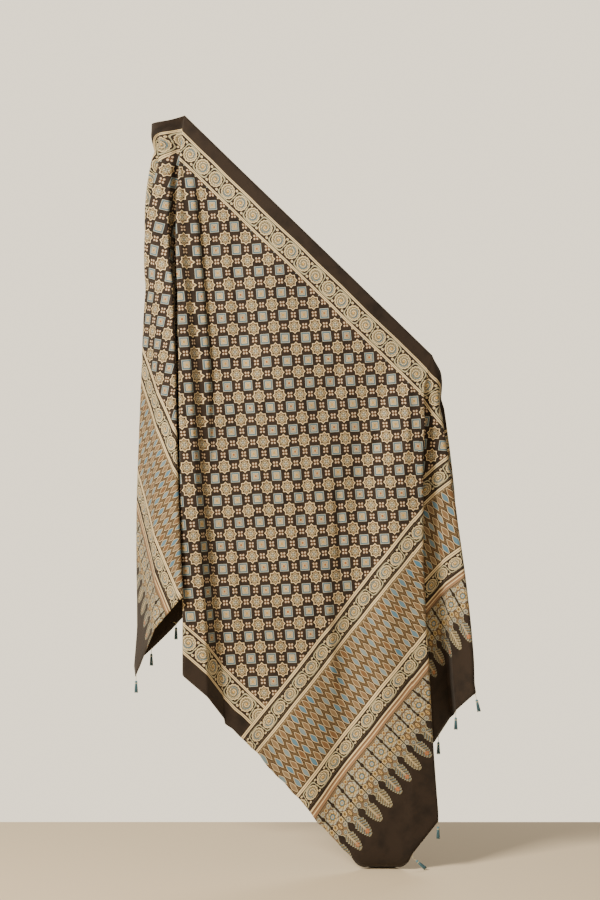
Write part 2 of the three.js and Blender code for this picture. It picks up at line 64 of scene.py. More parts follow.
# Folds from the panel on: degrees, headings, share of width kept at the hold, column spacing
LEFT_FOLDS = [
    (2.6, (176, 210, 228, 235, 235), 1, 7),
    (2.4, (166, 180, 180, 180, 180), 1, 7),
    (3.2, (140, 85, 86, 86, 86), 0.8, 12),
    (15.1, (112, 20, 2, 1, 0), 0.4, 26),
    (13.7, (92, 160, 177, 179, 180), 0.4, 26),
    (13.3, (92, 20, 3, 1, 0), 0.4, 26),
    (15.9, (112, 158, 178, 180, 180), 0.4, 26),
    (5.5, (140, 232, 272, 275, 272), 0.7, 10),
    (1.3, (160, 225, 260, 275, 345), 0.7, 7),
    (5, (172, 176, 145, 133, 130), 1, 8),
    (8, (180, 140, 123, 117, 108), 1, 10),
    (16.4, (178, 50, 8, 4, 3), 0.8, 22),
    (16, (176, 168, 173, 176, 177), 0.8, 22),
    (15.9, (178, 40, 8, 4, 4), 0.8, 20),
]
RIGHT_FOLDS = [
    (3.5, (8, 0, 4, 8, 8), 1, 8),
    (5.5, (14, 150, 180, 178, 178), 0.7, 12),
    (5.5, (14, 20, 0, 0, 0), 0.7, 12),
    (4.5, (8, 6, 28, 46, 48), 1, 8),
    (2, (6, -15, -50, -75, -78), 1, 7),
    (5, (14, 0, -12, -54, -54), 1, 7),
    (9.2, (60, 100, 116, 108, 106), 0.7, 13),
    (7.3, (80, 160, 174, 174, 174), 0.7, 16),
    (10.9, (80, 30, 8, 6, 6), 0.7, 14),
]
# Where each side leaves the panel: distance from the hold, degrees from the top edge
LEFT_START = [(0, 53), (130, 51.6), (420, 47.5), (600, 46.6), (1180, 45.6)]
RIGHT_START = [(0, 75), (75, 70), (160, 60.5), (370, 57), (745, 54), (1100, 52.5)]
# Share of the way through the folds, and how far the cloth reaches there, over its flat distance
LEFT_REACH = [(0, 1.0388), (0.4, 1.012), (0.54, 1.012), (0.65, 1.055), (1, 1)]
RIGHT_REACH = [(0, 1.0388), (0.52, 1.03), (1, 0.975)]
# The gathers below each hold are spread to the side, over these distances and share of the folds
LEFT_SPREAD = -22
RIGHT_SPREAD = 9
SPREAD_COMES = (0, 60)
SPREAD_GOES = (250, 800)
SPREAD_SHARE = (0.4, 0.7)
# Between these distances the folds come to their full width
WIDENING = (20, 160)

# Wide soft folds of the panel: head x, head z, foot x, foot z, spread, depth to the back
SOFT_FOLDS = [
    (455, -760, 378, -1820, 46, 17),
    (540, -740, 505, -1500, 60, -16),
    (605, -700, 628, -1700, 42, -12),
    (110, -190, 150, -900, 60, 6),
    (230, -420, 290, -1500, 95, -15),
    (300, -330, 560, -620, 40, -8),
    (130, -1350, 260, -1690, 50, 12),
]
# The lowest corner sags: drop, shift to the side, reach along the cloth and across it
CORNER_SAG = (34, -12, 330, 115)
# Narrow creases, in the same terms as the soft folds
CREASES = [
    (384, -930, 390, -1140, 11, 9),
    (352, -1180, 372, -1420, 13, -7),
    (300, -880, 292, -1120, 14, 5),
    (505, -640, 470, -860, 12, 7),
    (560, -650, 548, -900, 10, -6),
    (420, -560, 330, -760, 18, 5),
    (180, -700, 186, -1010, 16, -5),
    (238, -1150, 262, -1420, 15, 6),
    (470, -1080, 462, -1420, 14, 7),
    (120, -1080, 128, -1330, 12, -5),
    (140, -250, 215, -420, 16, 4),
    (100, -300, 112, -560, 13, -5),
]
# Where a fold starts and ends, in shares of its length
FOLD_STARTS = (-0.35, 0.25)
FOLD_ENDS = (0.8, 1.3)
# The panel's folds come to full depth over these distances from the holds
CALM_UPPER = (30, 240)
CALM_LOWER = (0, 170)
# The line along which the gathered side steps forward of the panel: x, z
STEP_LINE = [(18, -120), (27, -225), (47, -450), (60, -617), (65, -960)]
STEP_FORWARD = 17
STEP_HALF = 8
# How far down the step comes and goes
STEP_COMES = (110, 230)
STEP_GOES = (620, 980)
# The step draws the cloth beside it together: how far, half its width, reach to the left, depth
STEP_SQUEEZE = 7
SQUEEZE_HALF = 17
SQUEEZE_REACH = 56
SQUEEZE_GOES = (820, 980)
# Small waves of the lower hem: length of the wave, height, phase
HEM_WAVES = [(171, 2.6, 0.4), (83, 1.7, 2.1), (47, 1, 4)]
HEM_REACH = 55

# Rows across the fan of columns, a little closer at the hold
ROWS = 92
ROW_CROWDING = 1.12
PANEL_COLUMNS = 150
# Share of the panel's columns that end on the long lower hem
LOWER_HEM_SHARE = 0.72
# Side columns are spaced for this distance from the hold
SPACING_DISTANCE = 1150
# A turn of more degrees than this gets more columns
SHARP_TURN = 100
TURN_COLUMNS, SHARP_TURN_COLUMNS = 4, 7


def ease(x, a, b):
    """0 up to a and 1 from b, with a smooth way between them."""
    t = np.clip((x - a) / (b - a), 0, 1)
    return t * t * (3 - 2 * t)


def read(table, x):
    """The value at x of a table of (place, value)."""
    return np.interp(x, [p[0] for p in table], [p[1] for p in table])


def unit(vectors):
    return vectors / np.linalg.norm(vectors, axis=-1, keepdims=True)


def panel_point(u, v):
    """x and z in the panel of a place on the flat cloth."""
    along = u - UPPER_HOLD_U
    return along * PANEL_U[0] + v * PANEL_V[0], along * PANEL_U[1] + v * PANEL_V[1]


def stand_back(x, z):
    """How far the soft folds and creases set the panel back."""
    back = np.zeros_like(x)
    for hx, hz, fx, fz, spread, depth in SOFT_FOLDS + CREASES:
        lx, lz = fx - hx, fz - hz
        n = math.hypot(lx, lz)
        along = ((x - hx) * lx + (z - hz) * lz) / n
        across = ((x - hx) * lz - (z - hz) * lx) / n
        fade = ease(along / n, *FOLD_STARTS) * (1 - ease(along / n, *FOLD_ENDS))
        back += depth * fade * np.exp(-((across / spread) ** 2))
    lx, lz = panel_point(LOWER_HOLD_U, 0)
    back *= ease(np.hypot(x, z), *CALM_UPPER)
    return back * ease(np.hypot(x - lx, z - lz), *CALM_LOWER)


def past_step_line(x, z):
    """How far x lies to the right of the step line."""
    return x - np.interp(-z, [-p[1] for p in STEP_LINE], [p[0] for p in STEP_LINE])


def squeeze(x, z):
    """How far the step draws the cloth on its left over towards the panel."""
    right = past_step_line(x, z)
    past = 1 - ease(right, -SQUEEZE_HALF, SQUEEZE_HALF)
    rest = ease(right, -SQUEEZE_REACH, -SQUEEZE_HALF)
    return STEP_SQUEEZE * past * rest * ease(-z, *STEP_COMES) * (1 - ease(-z, *SQUEEZE_GOES))


def step_forward(x, z):
    """How far the cloth left of the step line stands in front of the panel."""
    past = 1 - ease(past_step_line(x, z), -STEP_HALF, STEP_HALF)
    return STEP_FORWARD * past * ease(-z, *STEP_COMES) * (1 - ease(-z, *STEP_GOES))


def rest_on_floor(p):
    """Bends what would hang below the floor to the back, to lie on it."""
    top = FLOOR_Z + CAD_THICKNESS + FLOOR_BEND
    turned = (top - p[..., 2]) / FLOOR_BEND
    bent = (turned > 0) & (turned < math.pi / 2)
    flat = turned >= math.pi / 2
    p[..., 1] += np.where(bent, FLOOR_BEND * (1 - np.cos(turned)), 0)
    p[..., 1] += np.where(flat, FLOOR_BEND + (turned - math.pi / 2) * FLOOR_BEND, 0)
    z = np.where(bent, top - FLOOR_BEND * np.sin(turned), p[..., 2])
    p[..., 2] = np.where(flat, top - FLOOR_BEND, z)
    return p


def place_panel(u, v):
    """Points of the panel for places on the flat cloth."""
    x, z = panel_point(u, v)
    drop, shift, along_u, along_v = CORNER_SAG
    near = np.exp(-(((LENGTH - u) / along_u) ** 2) - ((WIDTH - v) / along_v) ** 2)
    wave = sum(h * np.sin(2 * math.pi * u / w + p) for w, h, p in HEM_WAVES)
    drop = drop * near + wave * np.exp(-(((WIDTH - v) / HEM_REACH) ** 2))
    back = stand_back(x, z) - step_forward(x, z)
    return rest_on_floor(np.stack([x + shift * near, back, z - drop], -1))


class Side:
    """One gathered side: folds that fan out from a hold, next to the panel."""

    def __init__(self, rows, hold_u, reach, spread, start, finish):
        self.rows, self.hold_u, self.reach, self.spread = rows, hold_u, reach, spread
        self.start_table, self.finish = start, finish
        self.hold = panel_point(hold_u, 0)
        self.run = LENGTH - hold_u if finish == 0 else hold_u
        self.width = np.array([r[0] for r in rows]) / sum(r[0] for r in rows)
        self.first = np.concatenate([[0], np.cumsum(self.width)])[:-1]
        self.kept = np.array([r[2] for r in rows], float)

    def start(self, distance):
        return read(self.start_table, distance)

    def span(self, distance):
        return np.abs(self.finish - self.start(distance)) * math.pi / 180

    def headings(self, distance):
        return np.stack([np.interp(distance, STATIONS, r[1]) for r in self.rows], -1)

    def halves(self, distance):
        """Half the width of each turn between folds, in radians of flat cloth."""
        h, s = self.headings(distance), self.span(distance)[..., None]
        bend = np.abs(np.diff(h, axis=-1)) * math.pi / 180
        most = (1 - LEAST_FLAT) / 2 * np.minimum(self.width[1:], self.width[:-1]) * s
        return np.minimum(bend * FOLD_RADIUS / 2 / np.maximum(distance, 1e-3)[..., None], most)

    def flat(self, distance, angle):
        """The place on the flat cloth at a distance and an angle from the hold."""
        a = np.radians(angle)
        return self.hold_u + distance * np.cos(a), distance * np.sin(a)

    def angle(self, distance, share):
        s = self.start(distance)
        return s + (self.finish - s) * share

    def place(self, distance, share):
        """Points of the side: walks through the folds at each distance up to each share."""
        hx, hz = self.hold
        span = self.span(distance)
        h = self.headings(distance)
        half = self.halves(distance)
        first = self.first * span[..., None]
        fade = ease(distance, *WIDENING)[..., None]
        kept = self.kept + (1 - self.kept) * fade
        bu, bv = self.flat(np.ones_like(distance), self.start(distance))
        rx, rz = panel_point(bu, bv)
        rx, rz = rx - hx, rz - hz
        ray = unit(np.stack([rx, np.zeros_like(rx), rz], -1))
        step = share * span / WALK_STEPS
        last = len(self.rows) - 1
        for i in range(WALK_STEPS):
            angle = (i + 0.5) * step
            t = np.clip((angle[..., None] - (first[..., 1:] - half)) / (2 * half + 1e-12), 0, 1)
            head = np.radians(h[..., 0] + (np.diff(h, axis=-1) * t).sum(-1))
            leg = np.clip((angle[..., None] >= first[..., 1:]).sum(-1), 0, last)
            keep = np.take_along_axis(kept, leg[..., None], -1)[..., 0]
            across = -ray * ray[..., :1]
            across[..., 0] += 1
            across = unit(across)
            away = -ray * ray[..., 1:2] - across * across[..., 1:2]
            away[..., 1] += 1
            away = unit(away)
            d = (step * keep)[..., None]
            ray = ray + across * np.cos(head)[..., None] * d + away * np.sin(head)[..., None] * d
            ray = unit(ray)
        p = ray * (distance * read(self.reach, share))[..., None]
        spread = self.spread * ease(distance, *SPREAD_COMES) * (1 - ease(distance, *SPREAD_GOES))
        p[..., 0] += hx + spread * ease(share, *SPREAD_SHARE)
        edge = panel_point(*self.flat(distance, self.start(distance)))
        # only the folds that show keep the step
        shown = 1 - ease(share, self.first[2], self.first[3])
        p[..., 1] += stand_back(*edge) - step_forward(*edge) * shown
        p[..., 2] += hz
        return rest_on_floor(p)

    def edge_distance(self, share_of):
        """How far from the hold the edge of the cloth lies on a column."""
        d = float(WIDTH)
        for _ in range(40):
            a = math.radians(self.angle(d, share_of(d)))
            out = math.cos(a) if self.finish == 0 else -math.cos(a)
            near = min(WIDTH / max(1e-6, math.sin(a)), self.run / max(1e-6, out))
            d += (near - d) * 0.6
        return d

    def columns(self):
        """Columns, each a function from distance to share of the way."""
        found = []
        n = len(self.rows)

        def flat_part(i, part):
            def share(distance):
                half, span = self.halves(distance), self.span(distance)
                a = self.first[i] * span + (half[..., i - 1] if i else 0)
                b = (self.first[i] + self.width[i]) * span - (half[..., i] if i < n - 1 else 0)
                return (a + (b - a) * part) / span

            return share

        def turn_part(i, part):
            def share(distance):
                half, span = self.halves(distance), self.span(distance)
                return (self.first[i + 1] * span + part * half[..., i]) / span

            return share

        corner_d = math.hypot(self.run, WIDTH)
        corner_a = abs(self.finish - math.degrees(math.atan2(WIDTH, self.run)))
        start = float(self.start(corner_d))
        corner = (corner_a - start) / (self.finish - start)
        for i, row in enumerate(self.rows):
            wide = self.width[i] * self.span(SPACING_DISTANCE) * SPACING_DISTANCE
            count = max(1, round(wide / row[3]))
            parts = [(k + 0.5) / count for k in range(count)]
            a, b = (float(flat_part(i, q)(corner_d)) for q in (0, 1))
            q = (corner - a) / (b - a)
            if 0 < q < 1:
                parts = sorted([p for p in parts if abs(p - q) > 0.25 / count] + [q])
            found += [flat_part(i, p) for p in parts]
            if i < n - 1:
                bend = abs(self.rows[i + 1][1][3] - row[1][3])
                m = SHARP_TURN_COLUMNS if bend > SHARP_TURN else TURN_COLUMNS
                found += [turn_part(i, 2 * k / (m - 1) - 1) for k in range(m)]
        return found + [np.ones_like]


LEFT = Side(LEFT_FOLDS, UPPER_HOLD_U, LEFT_REACH, LEFT_SPREAD, LEFT_START, 180)
RIGHT = Side(RIGHT_FOLDS, LOWER_HOLD_U, RIGHT_REACH, RIGHT_SPREAD, RIGHT_START, 0)
ROW_PARTS = np.linspace(0, 1, ROWS) ** ROW_CROWDING


def side_grid(side):
    """Flat places and hung points of one side, by column and row."""
    columns = side.columns()
    distance = np.stack([ROW_PARTS * side.edge_distance(share_of) for share_of in columns])
    share = [share_of(np.maximum(d, 1)) for share_of, d in zip(columns, distance)]
    share = np.clip(share, 0, 1)
    points = side.place(np.maximum(distance, 1e-6), share)
    points[:, 0] = (side.hold[0], 0, side.hold[1])
    return np.stack(side.flat(distance, side.angle(distance, share)), -1), points


def panel_grid():
    """Flat places and hung points of the panel, blended from its four edges."""
    def side_line(side):
        d = ROW_PARTS * side.edge_distance(np.zeros_like)
        return np.stack(side.flat(d, side.start(d)), -1)

    left, right = side_line(LEFT), side_line(RIGHT)
    low_left, low_right = left[-1], right[-1]
    along_low, along_end = LENGTH - low_left[0], WIDTH - low_right[1]
    corner = along_low / (along_low + along_end)
    before = round(PANEL_COLUMNS * LOWER_HEM_SHARE)
    s = np.concatenate([
        np.linspace(0, corner, before + 1),
        np.linspace(corner, 1, PANEL_COLUMNS - before + 1)[1:],
    ])
    run = s * (along_low + along_end)
    low = np.stack([
        np.minimum(low_left[0] + run, LENGTH),
        np.where(run < along_low, WIDTH, WIDTH - (run - along_low)),
    ], -1)
    top = np.stack([UPPER_HOLD_U + (LOWER_HOLD_U - UPPER_HOLD_U) * s, 0 * s], -1)
    t, c = ROW_PARTS[None, :, None], s[:, None, None]
    flat = (
        left[None] * (1 - c) + right[None] * c
        + top[:, None] * (1 - t) + low[:, None] * t
        - (top[:, None] * (1 - t) + (low_left * (1 - c) + low_right * c) * t)
    )
    placed = place_panel(flat[..., 0], flat[..., 1])
    # the first columns stay where the left side meets them
    free = ease(np.arange(len(s)) / len(s), 0, 0.02)[:, None]
    placed[..., 0] += squeeze(placed[..., 0], placed[..., 2]) * free
    return flat, placed


def drape():
    """Flat places and hung points of the whole cloth, from left to right."""
    left_flat, left_points = side_grid(LEFT)
    right_flat, right_points = side_grid(RIGHT)
    panel_flat, panel_points = panel_grid()
    flat = np.concatenate([left_flat[::-1], panel_flat, right_flat])
    return flat, np.concatenate([left_points[::-1], panel_points, right_points])


def surface(flat, middle):
    """Vertices, flat places and faces; points that coincide are made one."""
    # columns meet at each hold, and the grids share a column where they meet
    key, index, pts, uvs = {}, [], [], []
    for p, f in zip(middle.reshape(-1, 3), flat.reshape(-1, 2)):
        tag = tuple(np.round(p, 2)) + tuple(np.round(f, 1))
        if tag not in key:
            key[tag] = len(pts)
            pts.append(p)
            uvs.append(f)
        index.append(key[tag])
    index = np.array(index).reshape(flat.shape[:2])
    a, b = index[:-1, :-1].ravel(), index[:-1, 1:].ravel()
    c, d = index[1:, 1:].ravel(), index[1:, :-1].ravel()
    faces = []
    for q in zip(a, b, c, d):
        ring = [x for i, x in enumerate(q) if x != q[i - 1]]
        if len(set(ring)) >= 3:
            faces.append(tuple(int(x) for x in ring))
    return np.array(pts), np.array(uvs), faces


def vertex_normals(pts, faces):
    """Unit normals, weighted by the area of the faces round a vertex."""
    normals = np.zeros_like(pts)
    for size in (3, 4):
        f = np.array([q for q in faces if len(q) == size])
        p = pts[f]
        n = np.cross(p[:, 2] - p[:, 0], p[:, -1] - p[:, 1])
        for k in range(size):
            np.add.at(normals, f[:, k], n)
    return normals / np.maximum(np.linalg.norm(normals, axis=1, keepdims=True), 1e-12)


def gathered(items, name, kind=int, width=1):
    """An attribute of all items of a mesh, as one array."""
    found = np.zeros(len(items) * width, kind)
    items.foreach_get(name, found)
    return found


def add_map(mesh, name, places):
    layer = mesh.uv_layers.new(name=name)
    layer.uv.foreach_set("vector", np.asarray(places, np.float32).ravel())


def linked(name, data):
    ob = bpy.data.objects.new(name, data)
    bpy.context.scene.collection.objects.link(ob)
    return ob


def cloth_object(pts, uvs, faces, thickness):
    """A closed thin sheet: the front and back layers and the rim that joins them."""
    normals = vertex_normals(pts, faces)
    n = len(pts)
    both = np.concatenate([pts + normals * thickness / 2, pts - normals * thickness / 2]) * MM
    edges = {(q[i - 1], q[i]): None for q in faces for i in range(len(q))}
    layers = [tuple(q) for q in faces] + [tuple(n + i for i in reversed(q)) for q in faces]
    rim = [(a, n + a, n + b, b) for a, b in edges if (b, a) not in edges]
    mesh = bpy.data.meshes.new("cloth_sheet")
    mesh.from_pydata(both.tolist(), [], layers + rim)
    mesh.validate()
    mesh.update()
    slot = np.zeros(len(mesh.polygons), int)
    slot[len(faces):2 * len(faces)] = 1
    mesh.polygons.foreach_set("material_index", slot)
    mesh.polygons.foreach_set("use_smooth", np.ones(len(mesh.polygons), bool))
    place = np.concatenate([uvs, uvs])[gathered(mesh.loops, "vertex_index")] * MM
    add_map(mesh, "flat", place)
    return linked("ajrakh_cloth", mesh)


cloth_points, cloth_flats, cloth_faces = surface(*drape())
cloth = cloth_object(cloth_points, cloth_flats, cloth_faces, THICKNESS)
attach(cloth, "root")
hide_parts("cloth")


# Colours of the print, as sRGB bytes
GROUND = (28, 20, 15)
GROUND_LIT = (48, 37, 29)
CREAM = (236, 212, 166)
PINKISH = (208, 186, 158)
TAN = (188, 154, 108)
ROSE = (150, 116, 88)
KHAKI = (170, 146, 92)
BROWN = (104, 70, 44)
DARK = (42, 28, 24)
GREY_BLUE = (86, 114, 128)
PALE_BLUE = (178, 180, 170)
YELLOW = (222, 178, 96)
ORANGE = (176, 104, 60)
SLATE_BLUE = (82, 122, 146)
LEAF_BROWN = (122, 90, 60)
STONE = (184, 176, 144)


def linear(rgb):
    """sRGB bytes as a linear colour with alpha."""
    parts = [c / 255 for c in rgb]
    parts = [p / 12.92 if p <= 0.04045 else ((p + 0.055) / 1.055) ** 2.4 for p in parts]
    return (*parts, 1.0)


def set_inputs(node, **values):
    """Sets sockets of a node, named with an underscore for each space."""
    for name, value in values.items():
        node.inputs[name.replace("_", " ")].default_value = value


def operator(operation):
    """A method that makes a math node of a term and another value."""
    return lambda term, other: term.sk.math(operation, term, other)


class Term:
    """An output of a node, to reckon with."""

    def __init__(self, sk, socket):
        self.sk, self.socket = sk, socket

    __add__ = __radd__ = operator("ADD")
    __mul__ = __rmul__ = operator("MULTIPLY")
    __sub__, __truediv__ = operator("SUBTRACT"), operator("DIVIDE")
    least, most = operator("MINIMUM"), operator("MAXIMUM")

    def __rsub__(self, other):
        return self.sk.math("SUBTRACT", other, self)

    def __abs__(self):
        return self.sk.math("ABSOLUTE", self)

    def floor(self):
        return self.sk.math("FLOOR", self)

    def nearest(self):
        return self.sk.math("FLOOR", self + 0.5)

    def odd(self):
        """0 for an even whole number and 1 for an odd one."""
        return self.sk.math("FLOORED_MODULO", self, 2)

    def below(self, limit, soft=0.5):
        """1 below a limit and 0 above it, with a soft edge."""
        if isinstance(limit, Term):
            return (limit - self).below(0, -soft)
        return self.sk.math("MULTIPLY_ADD", self, -1 / soft, limit / soft + 0.5, clamp=True)

    def above(self, limit, soft=0.5):
        return self.below(limit, -soft)

    def within(self, low, high, soft=0.5):
        return self.above(low, soft) * self.below(high, soft)


class Sketch:
    """The nodes of one material, and the colour painted so far."""

    def __init__(self, owner, base=None):
        self.tree, self.colour = owner.node_tree, base

    def node(self, kind, **settings):
        node = self.tree.nodes.new(kind)
        for name, value in settings.items():
            setattr(node, name, value)
        return node

    def put(self, socket, value):
        if isinstance(value, Term):
            self.tree.links.new(value.socket, socket)
        else:
            socket.default_value = value

    def math(self, operation, *values, clamp=False):
        node = self.node("ShaderNodeMath", operation=operation, use_clamp=clamp)
        for socket, value in zip(node.inputs, values):
            self.put(socket, value)
        return Term(self, node.outputs[0])

    def length(self, a, b):
        return self.math("SQRT", self.math("MULTIPLY_ADD", a, a, b * b))

    def ramp(self, value, stops):
        """Colour and cover over stops of (place, colour or None for bare)."""
        reach = stops[-1][0]
        node = self.node("ShaderNodeValToRGB")
        self.put(node.inputs["Fac"], value * (1 / reach))
        found = node.color_ramp.elements
        while len(found) < len(stops):
            found.new(1)
        last = linear(stops[0][1] or CREAM)
        for element, (place, rgb) in zip(found, stops):
            last = linear(rgb) if rgb else (*last[:3], 0)
            element.position = place / reach
            element.color = last
        return Term(self, node.outputs["Color"]), Term(self, node.outputs["Alpha"])

    def lines(self, value, bands):
        """A ramp of bands, each (from, to, colour or None), blended between."""
        stops = []
        for low, high, rgb in bands:
            stops.append((low, rgb))
            if high > low:
                stops.append((high, rgb))
        return self.ramp(value, stops)

    def rings(self, value, bands, edge=0.35):
        """A ramp of bands, each (outer limit, colour), with narrow soft edges."""
        stops = []
        inner = 0
        for outer, rgb in bands:
            stops += [(inner, rgb), (max(inner, outer - edge), rgb)]
            inner = outer
        return self.ramp(value, stops + [(inner, None)])

    def paint(self, tone, cover):
        """Lays a colour over the colour so far, with a cover of 0 to 1."""
        node = self.node("ShaderNodeMix", data_type="RGBA")
        for name, value in (("Factor_Float", cover), ("A_Color", self.colour), ("B_Color", tone)):
            socket = next(s for s in node.inputs if s.identifier == name)
            self.put(socket, linear(value) if isinstance(value, tuple) else value)
        self.colour = Term(self, next(s for s in node.outputs if s.identifier == "Result_Color"))

    def overlay(self, ramp, mask):
        """Lays a ramp over the colour so far where it covers and mask is 1."""
        tone, cover = ramp
        self.paint(tone, cover * mask)

    def bump(self, shader, height, strength, distance):
        node = self.node("ShaderNodeBump")
        set_inputs(node, Strength=strength, Distance=distance)
        self.put(node.inputs["Height"], height)
        self.put(shader.inputs["Normal"], Term(self, node.outputs[0]))

    def noise(self, place, scale, detail=2, stretch=None):
        """Noise of a place in metres; the scale is in features per metre."""
        if stretch:
            node = self.node("ShaderNodeVectorMath", operation="MULTIPLY")
            self.put(node.inputs[0], place)
            node.inputs[1].default_value = stretch
            place = Term(self, node.outputs[0])
        node = self.node("ShaderNodeTexNoise", noise_dimensions="2D")
        self.put(node.inputs["Vector"], place)
        set_inputs(node, Scale=scale, Detail=detail)
        return Term(self, node.outputs[0]), Term(self, node.outputs["Color"])

    def place_on(self, map_name):
        return Term(self, self.node("ShaderNodeUVMap", uv_map=map_name).outputs[0])

    def split(self, vector):
        node = self.node("ShaderNodeSeparateXYZ")
        self.put(node.inputs[0], vector)
        return [Term(self, s) for s in node.outputs]

    def join(self, x, y):
        node = self.node("ShaderNodeCombineXYZ")
        self.put(node.inputs[0], x)
        self.put(node.inputs[1], y)
        return Term(self, node.outputs[0])

    def chance(self, x, y):
        """A steady random number for each cell."""
        node = self.node("ShaderNodeTexWhiteNoise", noise_dimensions="2D")
        self.put(node.inputs["Vector"], self.join(x, y))
        return Term(self, node.outputs["Value"])


# Places of the print, in millimetres from the selvedge and from the end of the cloth
FIELD_EDGE = 92
LOWER_SHIFT = 7
END_BORDER = 518
CELL_ALONG, CELL_ACROSS = 39, 38.2
FIRST_CELL = (68.5, 116)
VINE_PITCH = 43.7
VINE_MIDDLE, VINE_HALF = 62.3, 22
VINE_BAND = (39.7, 84.5)
# The vines of the end border: middle and half width
END_VINES = ((488.5, 16.6), (296, 16.2))
LOZENGES = (322, 457)
LOZENGE_COLUMN, LOZENGE_ROW = 33.75, 15.7
TREE_PITCH, TREE_START = 37.8, 5.5
TREES = (114, 253)

# Rings of the field's motifs, each to its outer limit from the motif's middle
SQUARE_RINGS = [
    (1.2, BROWN), (3, YELLOW), (4.3, DARK), (6.2, CREAM), (7.4, BROWN), (9.2, STONE),
    (10.4, CREAM), (11.2, BROWN), (15.3, GREY_BLUE), (16.9, PALE_BLUE),
]
STAR_RINGS = [
    (1.5, PALE_BLUE), (2.3, DARK), (4, STONE), (5, CREAM), (6, BROWN), (7.6, KHAKI),
    (9, STONE), (10.9, BROWN), (12.7, CREAM),
]
CROSS_RINGS = [(2.3, PINKISH), (3.1, BROWN)]
# Dark spots of a star, along and beside its arms, with their radius
STAR_SPOTS = [(4.4, 0, 1.6), (11, 0, 2.2), (7.8, 3.6, 1.2)]

# The vine's stem, leaves and roundels
STEM_HALF = 19.6
LEAF_PLACE = (17.4, 16.2)
LEAF_RINGS = [(1.6, GREY_BLUE), (3.6, CREAM)]
SCALLOPS, SCALLOP_DEPTH = 7, 1.5
ROUNDEL_RADIUS, ROUNDEL_HEART = 19.6, 14.4
ROUNDEL_RINGS = [(15, KHAKI), (15.7, BROWN), (17.2, STONE), (18.8, CREAM)]
CURL_PITCH = 6.4
CURL_LINES = [
    (0, CREAM), (0.26, CREAM), (0.31, DARK), (0.47, DARK), (0.52, STONE), (0.7, KHAKI),
    (0.76, GREY_BLUE), (0.88, GREY_BLUE), (0.94, CREAM), (1, CREAM),
]

# Half the length of a lozenge's bulge, and the rings about its heart
LOZENGE_HALF = 15.6
LOZENGE_HEART = 5.6
LOZENGE_RINGS = [(LOZENGE_HEART, STONE), (6.2, BROWN), (7.2, CREAM)]

# The outline of a tree: height over the leaf's tip, and its width as a grey of a display's curve
TREE_OUTLINE = [
    (0, 0), (8, 84), (22, 134), (38, 158), (46, 150), (51, 104), (57, 112), (66, 192), (84, 196),
    (91, 162), (97, 192), (114, 192), (121, 150), (127, 182), (139, 182),
]
TREE_HALF = 23.2
DISPLAY_CURVE = 0.4545
SPEAR_HEIGHT = 54
SPEAR_TOOTH = 7.6
# Flowers of a tree below and above its stalk: height, place to the side, flattening, rings
LOWER_FLOWERS = [
    (57, 0, 1, [(2, PALE_BLUE), (2.7, BROWN), (4.4, GREY_BLUE), (6.2, STONE), (7.2, DARK)]),
    (69, 12.4, 0.95, [(2.2, GREY_BLUE), (3, BROWN), (4.6, STONE), (6, PALE_BLUE), (7, DARK)]),
    (84, 11.6, 0.85, [(1.8, LEAF_BROWN), (2.6, DARK), (4.8, KHAKI), (6.2, CREAM), (7.2, DARK)]),
]
STALK_RINGS = [(1.2, BROWN), (2.8, TAN), (3.8, KHAKI), (4.8, DARK)]
UPPER_FLOWERS = [
    (105, 0, 1, [
        (2, YELLOW), (2.9, BROWN), (5, PALE_BLUE), (7, GREY_BLUE), (7.8, DARK),
        (10.6, KHAKI), (12, CREAM), (12.8, BROWN), (15.4, STONE), (17.2, PALE_BLUE), (18.4, DARK),
    ]),
    (130, 10.6, 1.1, [(1.8, KHAKI), (2.6, BROWN), (4.8, STONE), (6.6, PALE_BLUE), (7.6, DARK)]),
    (129, 0, 1, [(1.8, ORANGE), (2.6, DARK), (4.2, KHAKI), (5.4, CREAM), (6.4, DARK)]),
]

# Lines that run along the borders, each from and to a distance and its colour
SELVEDGE_LINES = [
    (0, 33.6, None), (34.1, 35.7, CREAM), (36.2, 36.9, DARK), (37.4, 39.2, CREAM), (39.7, 39.7, DARK),
    (41, 83.5, None), (84.5, 85.1, DARK), (85.6, 87.3, CREAM), (87.8, 88.5, DARK), (89, 90.9, CREAM),
    (91.4, 91.4, DARK), (92, 92, None),
]
OUTER_LINES_START, INNER_LINES_START = 250, 455
OUTER_LINES = [
    (0, 4.5, None), (5, 10.5, ROSE), (11, 12.6, CREAM), (13, 16, ROSE), (16.4, 17.2, DARK),
    (17.6, 17.6, ROSE), (20, 22, CREAM), (22.5, 22.5, DARK), (27, 62.4, None), (63.2, 63.2, DARK),
    (64.2, 66.6, CREAM), (67, 67.9, DARK), (68.3, 71.5, CREAM), (72, 72, DARK), (74, 74, None),
]
INNER_LINES = [
    (0, 0, None), (4, 5, DARK), (5.5, 7.8, CREAM), (8.2, 9, DARK), (9.4, 11.8, CREAM),
    (12.3, 12.3, DARK), (15, 52, None), (54, 55, DARK), (55.4, 57.8, CREAM), (58.2, 59, DARK),
    (59.4, 62, CREAM), (62.5, 62.5, DARK), (63.5, 63.5, None),
]
# How far the blocks were set out of line, in metres, and how often that changes
SWAY, SWAY_SCALE = 0.0036, 9


